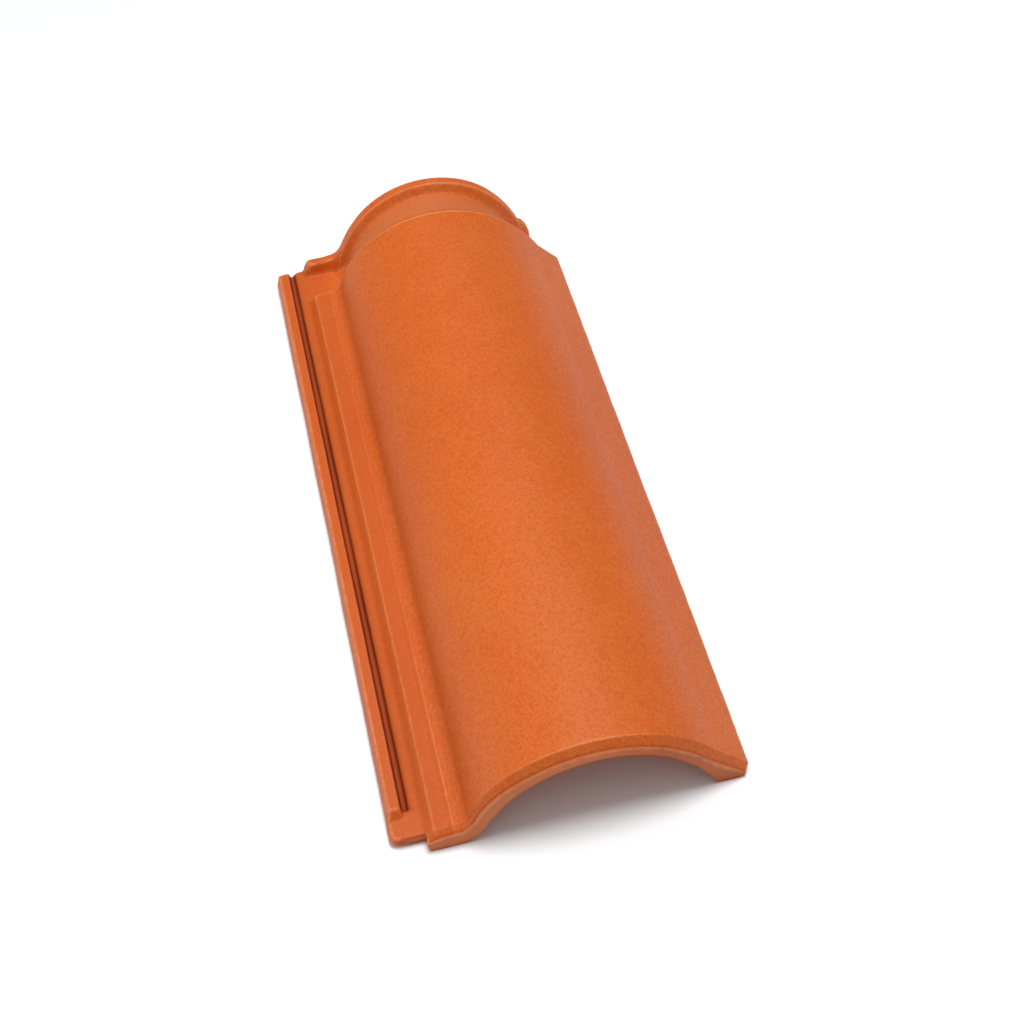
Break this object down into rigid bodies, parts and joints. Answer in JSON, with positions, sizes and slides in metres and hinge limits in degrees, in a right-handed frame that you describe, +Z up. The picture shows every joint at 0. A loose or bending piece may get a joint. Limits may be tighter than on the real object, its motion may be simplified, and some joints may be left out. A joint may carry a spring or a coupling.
{
  "type": "clay roof tile",
  "caption": "Narrow interlocking clay roof tile: a long half-round barrel with a raised rib at its head and a side-lock channel along its left edge.",
  "frame": {"origin": "middle of the tile's footprint, on the plane it rests on", "axes": "+Y along the tile from its nose to its head, +Z up through the barrel's crest, side-lock flange on the -X side"},
  "size_m": [0.19, 0.45, 0.0662],
  "materials": {
    "clay": "unglazed fired clay, satin, with paler worn edges"
  },
  "bodies": {
    "root": {"roof_tile": "clay"}
  },
  "joints": []
}
